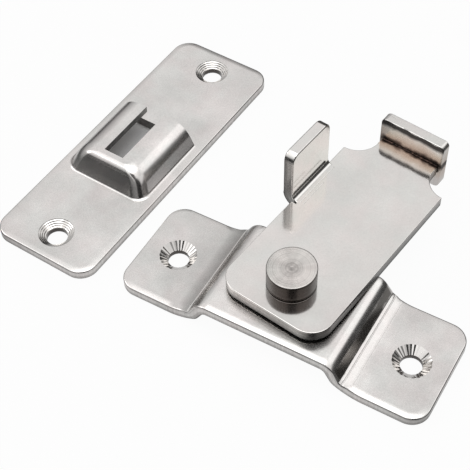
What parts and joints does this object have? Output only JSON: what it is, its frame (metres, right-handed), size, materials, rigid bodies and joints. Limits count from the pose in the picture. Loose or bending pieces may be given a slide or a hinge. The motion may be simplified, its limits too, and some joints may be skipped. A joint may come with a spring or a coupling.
{
  "type": "barn door latch",
  "caption": "Flip latch for a barn door: a folded base plate with a swinging sheet lever and hook plate, and a keeper plate whose slotted hump takes the hook.",
  "frame": {"origin": "middle of the whole set's footprint, on the plane of both mounting faces", "axes": "+Z out of the mounting faces, +X along the latch base plate, away from the keeper"},
  "size_m": [0.1232, 0.0898, 0.0285],
  "materials": {
    "plate_steel": "satin stainless sheet with rounded rims",
    "lever_steel": "smooth half-mirror stainless sheet",
    "hook_steel": "ground stainless with tan heat tint from the weld",
    "pin_steel": "turned stainless with fine rings"
  },
  "bodies": {
    "latch_base": {"base_plate": "plate_steel", "pivot_pin": "pin_steel", "spacer_washer": "pin_steel", "keeper_plate": "plate_steel"},
    "lever": {"swing_lever": "lever_steel", "hook_plate": "hook_steel"}
  },
  "joints": [
    {"name": "lever_swing", "type": "hinge", "parent": "latch_base", "child": "lever", "pos_m": [0.0191, -0.027, 0.0117], "axis": [0, 0, 1], "range_deg": [-262, 60]}
  ]
}
